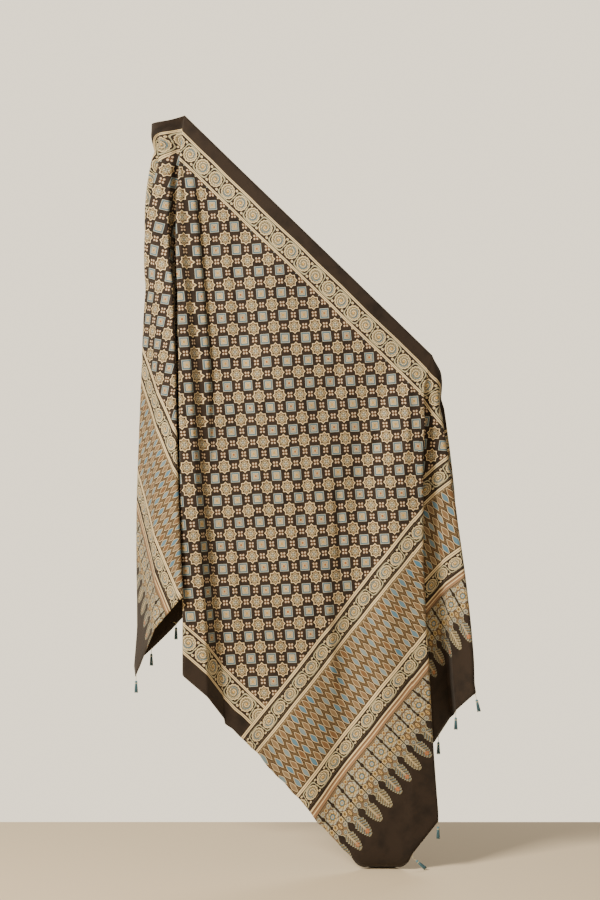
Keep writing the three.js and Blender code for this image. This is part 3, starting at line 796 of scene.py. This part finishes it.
def field_motifs(sk, u, v, mask):
    """Squares on their points, eight-pointed stars and small crosses, on a checkerboard."""
    cu, cv = (u - FIRST_CELL[0]) / CELL_ALONG, (v - FIRST_CELL[1]) / CELL_ACROSS
    nu, nv = cu.nearest(), cv.nearest()
    x, y = abs((cu - nu) * CELL_ALONG), abs((cv - nv) * CELL_ACROSS)
    star = (nu + nv).odd()
    chance = sk.chance(nu, nv)
    diamond = x + y
    square = x.most(y)
    inner = x.least(y)

    here = (1 - star) * mask
    sk.overlay(sk.rings(diamond, SQUARE_RINGS), here)
    sk.paint(GREY_BLUE, diamond.within(7.4, 9) * here * chance)
    sk.paint(ORANGE, diamond.within(1.2, 3) * here * chance.above(0.6, 0.2))
    sk.paint(BROWN, sk.length(square - 3.4, inner).below(0.9) * here * 0.8)

    here = star * mask
    pointed = square.least(diamond * math.sqrt(0.5))
    sk.overlay(sk.rings(pointed, STAR_RINGS), here)
    spots = [sk.length(square - a, inner - b).below(r) for a, b, r in STAR_SPOTS]
    sk.paint(DARK, (spots[0] + spots[1] + spots[2]) * here * 0.85)
    corners = sk.length(square - 8.2, inner - 8.2).below(2.4)
    sk.paint(LEAF_BROWN, corners * here * (0.3 + chance * 0.5))
    bars = abs(inner - 2.3).below(0.6) * square.below(8.8) * here
    sk.paint(PALE_BLUE, bars * 0.7)

    # the crosses stand where four cells meet
    x, y = CELL_ALONG / 2 - x, CELL_ACROSS / 2 - y
    petals = sk.length((x.most(y) - 5.2) * 0.85, x.least(y))
    sk.overlay(sk.rings(petals, CROSS_RINGS), mask)
    sk.paint(BROWN, sk.length(x, y).below(1.3) * mask * 0.8)


def vine(sk, along, across, mask):
    """Scalloped roundels in the turns of a winding stem, every other one turned over."""
    cell = along / VINE_PITCH
    number = cell.nearest()
    a = (cell - number) * VINE_PITCH
    b = across * (1 - 2 * number.odd())
    chance = sk.chance(number, number * 0 + 3)

    side = abs(a) / (VINE_PITCH / 2)
    rise = abs(b) / STEM_HALF
    squared = sk.math("MULTIPLY", side, side)
    squared = sk.math("MULTIPLY_ADD", squared, squared, rise * rise * rise * rise)
    stem = abs(sk.math("POWER", squared, 0.25) - 1) * 20
    sk.paint(STONE, stem.below(1.5) * b.below(3, 2) * mask)
    leaf = sk.length(abs(a) - LEAF_PLACE[0], (b - LEAF_PLACE[1]) * 1.3)
    sk.overlay(sk.rings(leaf, LEAF_RINGS), mask)

    radius = sk.length(a, b)
    turn = sk.math("ARCTAN2", b, a)
    outline = radius - abs(sk.math("SINE", turn * SCALLOPS)) * SCALLOP_DEPTH + SCALLOP_DEPTH
    sk.paint(DARK, outline.below(ROUNDEL_RADIUS) * mask)
    sk.overlay(sk.rings(outline, ROUNDEL_RINGS), mask)
    # a curl that opens outwards, its lines crossed by short petals
    curl = radius / CURL_PITCH + turn / (2 * math.pi)
    tone, _ = sk.ramp(curl - curl.floor(), CURL_LINES)
    sk.paint(tone, outline.within(3, ROUNDEL_HEART) * mask)
    petals = sk.math("SINE", turn * 11 + radius * 0.7).above(0.5, 0.5)
    sk.paint(DARK, petals * outline.within(6.4, ROUNDEL_HEART) * mask * 0.6)
    crescent = radius.within(9.6, 13) * sk.math("SINE", turn + chance * 3).above(0.2, 0.6)
    sk.paint(GREY_BLUE, crescent * mask * 0.8)
    sk.paint(YELLOW, radius.below(2.6) * mask)
    sk.paint(BROWN, radius.within(2.6, 3.5) * mask)


def lozenges(sk, v, t, mask):
    """Pointed lozenges in staggered columns, blue and brown in turn."""
    column = (t - LOZENGES[0]) / LOZENGE_COLUMN
    number = column.floor()
    x = (column - number - 0.5) * (LOZENGE_COLUMN / LOZENGE_HALF)
    row = v / LOZENGE_ROW + number.odd() * 0.5
    place = row.floor()
    chance = sk.chance(number, place)
    y = abs((row - place - 0.5) * LOZENGE_ROW)
    bulge = sk.math("MULTIPLY_ADD", x, x * 3.4, y) + abs(x) * 2.6 + chance * 0.5
    dashes = sk.math("SINE", t * 2 + v * 0.9).above(0.3, 0.5) * 0.55
    sk.paint(TAN, dashes * mask)
    net = sk.math("SINE", t * 1.7).above(-0.1, 0.4)
    sk.paint(DARK, bulge.within(7.2, 9.2) * mask * (0.6 + net * 0.4))
    sk.overlay(sk.rings(bulge, LOZENGE_RINGS), mask)
    brown = place.odd()
    heart = bulge.below(LOZENGE_HEART) * mask
    sk.paint(SLATE_BLUE, heart * (1 - brown) * (1 - chance * 0.35))
    sk.paint(LEAF_BROWN, heart * brown * (1 - chance * 0.25))
    sk.paint(BROWN, bulge.below(2.2, 1.6) * mask * brown * 0.3)


def flower(sk, rise, y, kind, mask):
    """A round flower with a ragged edge and dark lines between its petals."""
    height, aside, flattening, bands = kind
    along, across = (rise - height) * flattening, y - aside
    radius = sk.length(along, across)
    ray = sk.math("ARCTAN2", across, along)
    edge = abs(sk.math("SINE", ray * 4)) * 1.2
    sk.overlay(sk.rings(radius - edge + 1.2, bands), mask)
    lines = sk.math("SINE", ray * 8 + radius * 0.5).above(0.6, 0.4)
    outer = bands[-1][0]
    lines = lines * radius.within(outer * 0.42, outer - 2.2)
    sk.paint(BROWN, lines * mask * 0.7)


def trees(sk, v, t, mask):
    """A row of stacked flowers that each end in a serrated leaf."""
    cell = (v - TREE_START) / TREE_PITCH
    number = cell.floor()
    chance = sk.chance(number, number * 0 + 7)
    y = abs((cell - number - 0.5) * TREE_PITCH)
    rise = t - TREES[0]
    profile, _ = sk.ramp(rise, [(place, (grey, grey, grey)) for place, grey in TREE_OUTLINE])
    half = sk.math("POWER", profile, DISPLAY_CURVE) * TREE_HALF
    saw = (rise + y * 0.7) / SPEAR_TOOTH
    saw = saw - saw.floor()
    spear = rise.below(SPEAR_HEIGHT, 1)
    gap = half - y + (saw * 3.4 - 2.6) * spear
    shape = gap.above(0) * mask
    sk.paint(STONE, shape)
    sk.paint(BROWN, gap.above(1.5) * (1 - spear) * mask * 0.8)
    sk.paint(KHAKI, gap.above(1.5) * spear * mask * 0.7)

    vein = gap.above(1.2) * spear * mask
    sk.paint(GREY_BLUE, saw.above(0.55, 0.2) * vein * (0.4 + chance * 0.5))
    sk.paint(DARK, saw.below(0.34, 0.2) * gap.above(0.4) * spear * mask * 0.9)
    leaf = (rise - y * 0.9) / SPEAR_TOOTH
    leaf = leaf - leaf.floor()
    sk.paint(BROWN, leaf.below(0.2, 0.2) * y.above(1.4) * vein * 0.6)
    sk.paint(CREAM, y.within(0.7, 1.6) * spear * shape * rise.above(12))
    tip = sk.length(rise - 15, y).below(5.5, 2) * mask * chance.above(0.45, 0.2)
    sk.paint(ORANGE, tip * 0.75)

    for kind in LOWER_FLOWERS:
        flower(sk, rise, y, kind, mask)
    stalk = sk.length((rise - 76) * 0.45, y)
    sk.overlay(sk.rings(stalk, STALK_RINGS), mask)
    for kind in UPPER_FLOWERS:
        flower(sk, rise, y, kind, mask)


def printed(sk, place):
    """The block print at a place on the flat cloth, in metres."""
    sway = sk.split(sk.noise(place, SWAY_SCALE, 1)[1])
    flat_u, flat_v, _ = sk.split(place)
    u = (flat_u + sway[0] * SWAY - SWAY / 2) * 1000
    v = (flat_v + sway[1] * SWAY - SWAY / 2) * 1000
    t = u.least(LENGTH - u)
    w = v.least(WIDTH - LOWER_SHIFT - v)
    long_part = t.above(END_BORDER)
    end_part = 1 - long_part

    mottle, _ = sk.noise(place, 24, 3)
    sk.paint(GROUND_LIT, mottle.within(0.35, 2, 0.4))
    field_motifs(sk, u, v, w.above(FIELD_EDGE, 1) * long_part)
    sk.overlay(sk.lines(w, SELVEDGE_LINES), long_part)

    # the vines run along both long edges and twice across each end
    low, high = (v - VINE_MIDDLE), (WIDTH - LOWER_SHIFT - VINE_MIDDLE - v)
    upper = sk.math("COMPARE", low.least(high), low, 0.01)
    long_across = upper * low + (1 - upper) * (0 - high)
    long_band = w.below(FIELD_EDGE, 1) * long_part * w.within(*VINE_BAND)
    bands = [abs(t - middle).below(half + 0.6) for middle, half in END_VINES]
    parts = [
        band * ((t - middle) * (VINE_HALF / half)) for band, (middle, half) in zip(bands, END_VINES)
    ]
    along = u * long_part + v * end_part
    across = long_across * long_part + (parts[0] + parts[1]) * end_part
    vine(sk, along, across, long_band + (bands[0] + bands[1]) * end_part)

    sk.overlay(sk.lines(t - OUTER_LINES_START, OUTER_LINES), end_part)
    sk.overlay(sk.lines(t - INNER_LINES_START, INNER_LINES), end_part)
    lozenges(sk, v, t, t.within(LOZENGES[0] + 2, LOZENGES[1] + 2))
    trees(sk, v, t, t.within(*TREES))


def new_material(name, base):
    """A material, its sketch and its shader."""
    material = bpy.data.materials.new(name)
    material.use_nodes = True
    return material, Sketch(material, base), material.node_tree.nodes["Principled BSDF"]


def cloth_material(name, fade):
    """Printed cotton: print, uneven dye, threads and a slight sheen."""
    material, sk, shader = new_material(name, GROUND)
    place = sk.place_on("flat")
    printed(sk, place)
    if fade:
        sk.paint(GROUND_LIT, fade)
    # uneven dye, and slubs along and across the cloth
    worn, _ = sk.noise(place, 7, 4)
    slub_a, _ = sk.noise(place, 1, 2, (60, 1400, 0))
    slub_b, _ = sk.noise(place, 1, 2, (1400, 60, 0))
    node = sk.node("ShaderNodeVectorMath", operation="SCALE")
    sk.put(node.inputs[0], sk.colour)
    sk.put(node.inputs["Scale"], worn * 0.34 + (slub_a + slub_b) * 0.2 + 0.63)
    sk.put(shader.inputs["Base Color"], Term(sk, node.outputs[0]))
    sk.bump(shader, slub_a + slub_b, 0.35, 0.0004)
    set_inputs(shader, Roughness=0.82, Specular_IOR_Level=0.25, Sheen_Weight=0.12, Sheen_Roughness=0.5)
    return material


# Margin round the map for baking, as a share of it
BAKE_MARGIN = 0.01


def bake_map(mesh):
    """A second map: the front layer in one half and the back layer in the other."""
    places = gathered(mesh.uv_layers["flat"].uv, "vector", np.float32, 2)
    places = places.reshape(-1, 2) / MM / (LENGTH, WIDTH)
    faces = mesh.polygons
    back = np.repeat(gathered(faces, "material_index"), gathered(faces, "loop_total"))
    places = BAKE_MARGIN + places * (1 - 2 * BAKE_MARGIN)
    places[:, 1] = (places[:, 1] + back) / 2
    add_map(mesh, "OFBake", places)


cloth.data.materials.append(cloth_material("printed_cotton_front", 0))
cloth.data.materials.append(cloth_material("printed_cotton_back", 0.25))
bake_map(cloth.data)


# Tassels, in millimetres, hanging down from the string's start
STRING_LENGTH = 13
HEAD_HEIGHT = 8
SKIRT_LENGTH = 25
SKIRT_RADIUS = 5
# The two plies of a string turn by this many radians a millimetre
PLY_TWIST = 2
PLY_STEPS, PLY_OFFSET, PLY_RADIUS, PLY_SIDES = 15, 0.36, 0.46, 6
# The knot's place, as a share of the way from the hem, and its size
KNOT_PLACE, KNOT_HALF, KNOT_RADIUS, KNOT_BULGE = 0.7, 1.3, 0.35, 0.95
KNOT_STEPS, KNOT_SIDES = 7, 10
# Share of the head's height, and its radius there
HEAD_PROFILE = [
    (0, 0.9), (0.06, 1.7), (0.16, 2.6), (0.3, 3.2), (0.45, 3.4), (0.58, 3.25), (0.66, 2.9),
    (0.7, 3.15), (0.76, 3.25), (0.8, 3.05), (0.84, 3.25), (0.9, 3.2), (0.94, 2.95), (1.05, 2.9),
    (1.25, 3.1),
]
HEAD_SIDES = 20
# A thread is wound round the neck, between these shares of the head's height
NECK = (0.68, 0.92)
WIND_TURNS, WIND_STEPS, WIND_OFFSET, WIND_RADIUS, WIND_SIDES = 3, 49, 3.15, 0.34, 5
# Rings of strands: how many, and their radius at neck and tip as a share of the skirt's
SKIRT_RINGS = [(26, 0.56, 1), (15, 0.4, 0.68), (7, 0.2, 0.36)]
STRAND_RADIUS = 0.42
STRAND_STEPS = 6
STRAND_SIDES = 4
# How far the strands start inside the head
SKIRT_TUCK = 1.2
# Lengths at the ends of a solid that tell its skirt from its string, and where it starts
END_PART, START_PART = 6, 0.5
THREADS, TWINE = 0, 1


class Shape:
    """Vertices and faces of a piece that is put together from tubes."""

    def __init__(self):
        self.points, self.faces, self.slots, self.places = [], [], [], []

    def tube(self, line, radii, sides, slot, start=0):
        """A closed tube along a line, with its places on the map."""
        line = np.asarray(line, float)
        radii = np.broadcast_to(radii, len(line))
        way = unit(np.gradient(line, axis=0))
        side = unit(np.cross(way, (0.3, 1, 0.1)))
        up = np.cross(side, way)
        first = len(self.points)
        run = np.concatenate([[0], np.cumsum(np.linalg.norm(np.diff(line, axis=0), axis=1))])
        for p, s, u, r in zip(line, side, up, radii):
            for k in range(sides):
                turn = 2 * math.pi * k / sides
                self.points.append(p + (s * math.cos(turn) + u * math.sin(turn)) * r)
        for i in range(len(line) - 1):
            for k in range(sides):
                a, b = first + i * sides + k, first + i * sides + (k + 1) % sides
                near, far = start + k / sides, start + (k + 1) / sides
                places = [(near, run[i]), (far, run[i]), (far, run[i + 1]), (near, run[i + 1])]
                self.add((a, b, b + sides, a + sides), slot, places)
        last = first + (len(line) - 1) * sides
        self.add(tuple(range(first + sides - 1, first - 1, -1)), slot, [(start, 0)] * sides)
        self.add(tuple(range(last, last + sides)), slot, [(start, run[-1])] * sides)

    def add(self, face, slot, places):
        self.faces.append(face)
        self.slots.append(slot)
        self.places += places

    def piece(self, name, materials):
        """The finished object, smooth shaded, with its map and materials."""
        mesh = bpy.data.meshes.new(name)
        mesh.from_pydata((np.array(self.points) * MM).tolist(), [], self.faces)
        mesh.polygons.foreach_set("material_index", self.slots)
        mesh.polygons.foreach_set("use_smooth", [True] * len(self.faces))
        add_map(mesh, "thread", self.places)
        for material in materials:
            mesh.materials.append(material)
        mesh.update()
        return linked(name, mesh)


def thread_material(name, deep, light, twists):
    """Twisted cotton thread: slanting ply lines and strands that differ a little."""
    material, sk, shader = new_material(name, deep)
    around, along, _ = sk.split(sk.place_on("thread"))
    ply = sk.math("SINE", (around + along * twists) * (2 * math.pi))
    strand = sk.chance(around.floor(), around.floor() * 0.5)
    sk.paint(light, strand * 0.6 + ply * 0.16 + 0.2)
    sk.put(shader.inputs["Base Color"], sk.colour)
    sk.bump(shader, ply, 0.5, 0.0002)
    set_inputs(shader, Roughness=0.7, Specular_IOR_Level=0.3, Sheen_Weight=0.15)
    return material


THREAD_MATERIALS = [
    thread_material("teal_thread", (40, 70, 84), (104, 148, 160), 0.45),
    thread_material("cream_string", (168, 150, 112), (226, 212, 176), 0.35),
]


def tassel_axis(node):
    """Where the solid of a tassel starts, and the way it hangs."""
    solid = np.array([v.co for v in node.data.vertices]) / MM
    middle = solid.mean(0)
    axis = np.linalg.svd(solid - middle)[2][0]
    run = (solid - middle) @ axis
    wide = np.linalg.norm(solid - middle - run[:, None] * axis, axis=1)
    if wide[run > run.max() - END_PART].max() < wide[run < run.min() + END_PART].max():
        axis, run = -axis, -run
    return solid[run < run.min() + START_PART].mean(0), axis


def string(shape, at, hem, root, axis):
    """Two plies from the hem to the head, with a knot."""
    steps = np.linspace(0, 1, PLY_STEPS)
    for ply in (0, math.pi):
        down = steps * (STRING_LENGTH + 1)
        line = at(np.full(PLY_STEPS, PLY_OFFSET), ply + down * PLY_TWIST, down)
        shape.tube(np.concatenate([[hem], line]), PLY_RADIUS, PLY_SIDES, TWINE)
    knot = np.linspace(-1, 1, KNOT_STEPS)
    line = hem + (root - hem) * KNOT_PLACE + axis * (knot[:, None] * KNOT_HALF)
    radii = KNOT_RADIUS + KNOT_BULGE * np.sqrt(1 - (knot * 0.98) ** 2)
    shape.tube(line, radii, KNOT_SIDES, TWINE)


def head(shape, at):
    """The bound head, with a thread wound round its neck."""
    parts, radii = np.array(HEAD_PROFILE).T
    centre = np.zeros(len(parts))
    line = at(centre, centre, STRING_LENGTH + parts * HEAD_HEIGHT)
    shape.tube(line, radii, HEAD_SIDES, THREADS)
    turns = np.linspace(0, 1, WIND_STEPS)
    down = STRING_LENGTH + HEAD_HEIGHT * (NECK[0] + (NECK[1] - NECK[0]) * turns)
    line = at(np.full(WIND_STEPS, WIND_OFFSET), turns * (2 * WIND_TURNS) * math.pi, down)
    shape.tube(line, WIND_RADIUS, WIND_SIDES, TWINE)


def skirt(shape, at, rng):
    """Rings of loose strands that differ in length, place and sway."""
    neck = STRING_LENGTH + HEAD_HEIGHT
    s = np.linspace(0, 1, STRAND_STEPS)
    index = 0
    for count, near, far in SKIRT_RINGS:
        for k in range(count):
            index += 1
            turn = 2 * math.pi * (k + rng.uniform(-0.35, 0.35)) / count
            length = SKIRT_LENGTH * rng.uniform(0.9, 1)
            radius = SKIRT_RADIUS * (near + (far * rng.uniform(0.86, 1) - near) * s ** 0.8)
            sway = turn + rng.uniform(-0.25, 0.25) * s + 0.12 * np.sin(s * 7 + index)
            line = at(radius - 0.3, sway, neck - SKIRT_TUCK + length * s)
            shape.tube(line, STRAND_RADIUS * (1 - 0.25 * s), STRAND_SIDES, THREADS, index)


def tassel(name, node, number):
    """A string, a head and a skirt, along the axis of its solid."""
    root, axis = tassel_axis(node)
    side = unit(np.cross(axis, (0.2, 1, 0.1)))
    out = np.cross(axis, side)

    def at(radius, turn, down):
        turn, down = np.asarray(turn), np.asarray(down)
        across = np.cos(turn)[..., None] * side + np.sin(turn)[..., None] * out
        return root + across * np.asarray(radius)[..., None] + axis * down[..., None]

    shape = Shape()
    hem = cloth_points[np.argmin(np.linalg.norm(cloth_points - root, axis=1))]
    string(shape, at, hem, root, axis)
    head(shape, at)
    skirt(shape, at, np.random.default_rng(number))
    piece = shape.piece(name, THREAD_MATERIALS)
    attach(piece, "root")
    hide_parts(node.name)


TASSELS = sorted(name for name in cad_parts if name.startswith("tassel"))
for number, name in enumerate(TASSELS):
    tassel(name + "_threads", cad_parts[name], number)

# The stage, in metres. The camera looks level at the cloth, square on.
CAMERA_PLACE = (0.2875, -5.2, -0.835)
CAMERA_SENSOR, CAMERA_LENS = 36, 83.36
# The floor's far edge is where the wall would stand
FLOOR_X, FLOOR_Y = (-2.6, 3.2), (-3.2, 0.68)
FLOOR_GAP = 0.0006
FLOOR_COLOUR = (236, 216, 184)
# The wall that the camera sees, and the light from all round
WALL, WALL_STRENGTH = (1, 0.88, 0.68, 1), 1.75
AMBIENT, AMBIENT_STRENGTH = (1, 0.92, 0.78, 1), 0.29
# name, place, target, size, watts, colour
LIGHTS = [
    ("key", (-2.3, -2.9, 1.45), (0.28, 0, -0.6), 1.3, 340, (1, 0.92, 0.77)),
    ("rear", (1.5, 3.4, 1.2), (0.28, 0, -0.9), 2, 60, (1, 0.95, 0.88)),
]


def stand_camera():
    camera = linked("camera", bpy.data.cameras.new("camera"))
    camera.location = CAMERA_PLACE
    camera.rotation_euler = (math.radians(90), 0, 0)
    camera.data.sensor_fit = "VERTICAL"
    camera.data.sensor_height = CAMERA_SENSOR
    camera.data.lens = CAMERA_LENS
    bpy.context.scene.camera = camera


def lay_floor():
    mesh = bpy.data.meshes.new("floor")
    low = FLOOR_Z * MM - FLOOR_GAP
    (left, right), (near, far) = FLOOR_X, FLOOR_Y
    corners = [(left, near, low), (right, near, low), (right, far, low), (left, far, low)]
    mesh.from_pydata(corners, [], [(0, 1, 2, 3)])
    floor = linked("floor", mesh)
    pale, _, shader = new_material("pale_floor", None)
    set_inputs(shader, Base_Color=linear(FLOOR_COLOUR), Roughness=0.9)
    mesh.materials.append(pale)


def light_all_round():
    world = bpy.data.worlds.new("studio")
    world.use_nodes = True
    bpy.context.scene.world = world
    sk = Sketch(world)
    wall, end = (world.node_tree.nodes[name] for name in ("Background", "World Output"))
    set_inputs(wall, Color=WALL, Strength=WALL_STRENGTH)
    around = sk.node("ShaderNodeBackground")
    set_inputs(around, Color=AMBIENT, Strength=AMBIENT_STRENGTH)
    either = sk.node("ShaderNodeMixShader")
    seen = sk.node("ShaderNodeLightPath").outputs["Is Camera Ray"]
    for socket, source in zip(either.inputs, (seen, around.outputs[0], wall.outputs[0])):
        sk.put(socket, Term(sk, source))
    sk.put(end.inputs["Surface"], Term(sk, either.outputs[0]))


def area_light(name, place, target, size, energy, colour):
    """A square light at a place, facing a target."""
    light = linked(name, bpy.data.lights.new(name, "AREA"))
    light.data.energy = energy
    light.data.size = size
    light.data.color = colour
    light.location = place
    aim = mathutils.Vector(target) - mathutils.Vector(place)
    light.rotation_euler = aim.to_track_quat("-Z", "Y").to_euler()


stand_camera()
lay_floor()
light_all_round()
for light in LIGHTS:
    area_light(*light)
